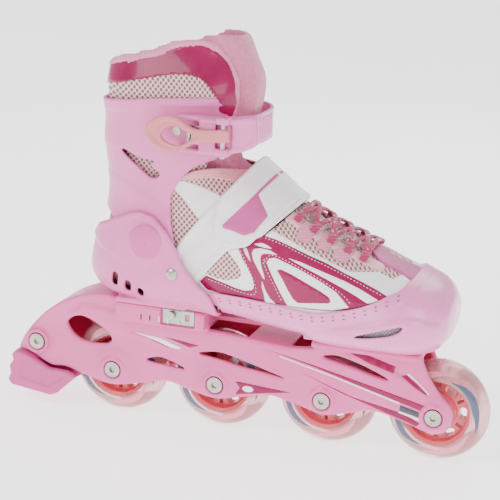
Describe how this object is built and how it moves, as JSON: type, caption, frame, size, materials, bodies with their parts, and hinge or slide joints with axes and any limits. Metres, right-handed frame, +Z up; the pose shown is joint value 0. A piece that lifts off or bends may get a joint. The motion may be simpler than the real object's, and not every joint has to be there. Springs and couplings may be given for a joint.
{
  "type": "inline skate",
  "caption": "Child's adjustable inline skate for the right foot: soft boot in plastic heel, toe and cuff shells on a wheeled frame with a heel brake",
  "frame": {"origin": "On the rolling plane in the frame's middle plane, midway between the first and last axle", "axes": "+X toward the toe, +Y toward the inner side of the foot, +Z up"},
  "size_m": [0.3475, 0.1104, 0.2669],
  "materials": {
    "shell_plastic": "satin",
    "brake_rubber": "matte",
    "steel": "polished",
    "bearing_steel": "polished",
    "clip_steel": "brushed",
    "rail_plastic": "satin",
    "lining_fabric": "soft",
    "mesh_fabric": "woven",
    "tongue_fabric": "soft",
    "strap_white": "grained",
    "pad_pink": "satin",
    "toe_plastic": "gloss",
    "trim_magenta": "patent",
    "lace_cord": "woven",
    "buckle_plastic": "satin",
    "ladder_plastic": "satin",
    "tyre_urethane": "translucent",
    "hub_plastic": "satin"
  },
  "bodies": {
    "frame": {"frame": "shell_plastic", "brake_pad": "brake_rubber", "brake_bolt": "steel", "axle_screws": "steel", "axle_barrels": "steel", "bearing_spacers": "bearing_steel", "bearing_inner_races": "bearing_steel", "deck_bolts": "steel", "size_clip": "clip_steel", "button_spring": "steel", "heel_shell": "shell_plastic", "footbed": "lining_fabric", "heel_liner": "lining_fabric", "inner_boot": "lining_fabric", "quarter": "mesh_fabric", "pivot_rivets": "steel", "pivot_caps": "shell_plastic", "strap_rivets": "steel", "instep_strap": "strap_white"},
    "toe": {"size_rail": "rail_plastic", "toe_shell": "toe_plastic", "toe_upper": "mesh_fabric", "toe_footbed": "lining_fabric", "toe_bolts": "steel", "tongue_base": "tongue_fabric", "lace_loops": "trim_magenta", "laces": "lace_cord"},
    "cuff": {"cuff": "shell_plastic", "cuff_bushes": "rail_plastic", "collar": "lining_fabric", "tongue_top": "tongue_fabric", "buckle_base": "buckle_plastic", "buckle_frame": "buckle_plastic", "buckle_rivets": "steel", "ladder_strap": "ladder_plastic", "ladder_rivet": "steel", "lever_pin": "steel", "pawl_pin": "steel"},
    "lever": {"buckle_lever": "buckle_plastic"},
    "pawl": {"buckle_pawl": "steel"},
    "button": {"size_button": "steel"},
    "flap": {"strap_flap": "strap_white", "flap_pad": "pad_pink"},
    "wheel_1": {"tyre_1": "tyre_urethane", "hub_1": "hub_plastic", "outer_races_1": "bearing_steel", "balls_1": "bearing_steel"},
    "wheel_2": {"tyre_2": "tyre_urethane", "hub_2": "hub_plastic", "outer_races_2": "bearing_steel", "balls_2": "bearing_steel"},
    "wheel_3": {"tyre_3": "tyre_urethane", "hub_3": "hub_plastic", "outer_races_3": "bearing_steel", "balls_3": "bearing_steel"},
    "wheel_4": {"tyre_4": "tyre_urethane", "hub_4": "hub_plastic", "outer_races_4": "bearing_steel", "balls_4": "bearing_steel"}
  },
  "joints": [
    {"name": "size_slide", "type": "slide", "parent": "frame", "child": "toe", "axis": [1, 0, 0], "range_m": [0, 0.0254]},
    {"name": "cuff_pivot", "type": "hinge", "parent": "frame", "child": "cuff", "pos_m": [-0.083, 0, 0.138], "axis": [0, 1, 0], "range_deg": [-3, 5]},
    {"name": "buckle_lever", "type": "hinge", "parent": "cuff", "child": "lever", "pos_m": [-0.0275, -0.0552, 0.216], "axis": [0, 0, 1], "range_deg": [0, 75]},
    {"name": "buckle_pawl", "type": "hinge", "parent": "cuff", "child": "pawl", "pos_m": [-0.051, -0.053, 0.216], "axis": [0, 0, -1], "range_deg": [0, 4], "stiffness_Nm_per_rad": 0.02},
    {"name": "size_button", "type": "slide", "parent": "frame", "child": "button", "axis": [0, 1, 0], "range_m": [0, 0.003], "stiffness_N_per_m": 900, "deforming": ["button_spring"]},
    {"name": "strap_peel", "type": "hinge", "parent": "frame", "child": "flap", "pos_m": [0.0005, 0, 0.1795], "axis": [-0.824, 0, 0.5666], "range_deg": [0, 80]},
    {"name": "wheel_1_spin", "type": "hinge", "parent": "frame", "child": "wheel_1", "pos_m": [-0.1155, 0, 0.035], "axis": [0, 1, 0], "continuous": true},
    {"name": "wheel_2_spin", "type": "hinge", "parent": "frame", "child": "wheel_2", "pos_m": [-0.0385, 0, 0.035], "axis": [0, 1, 0], "continuous": true},
    {"name": "wheel_3_spin", "type": "hinge", "parent": "frame", "child": "wheel_3", "pos_m": [0.0385, 0, 0.035], "axis": [0, 1, 0], "continuous": true},
    {"name": "wheel_4_spin", "type": "hinge", "parent": "frame", "child": "wheel_4", "pos_m": [0.1155, 0, 0.035], "axis": [0, 1, 0], "continuous": true}
  ]
}
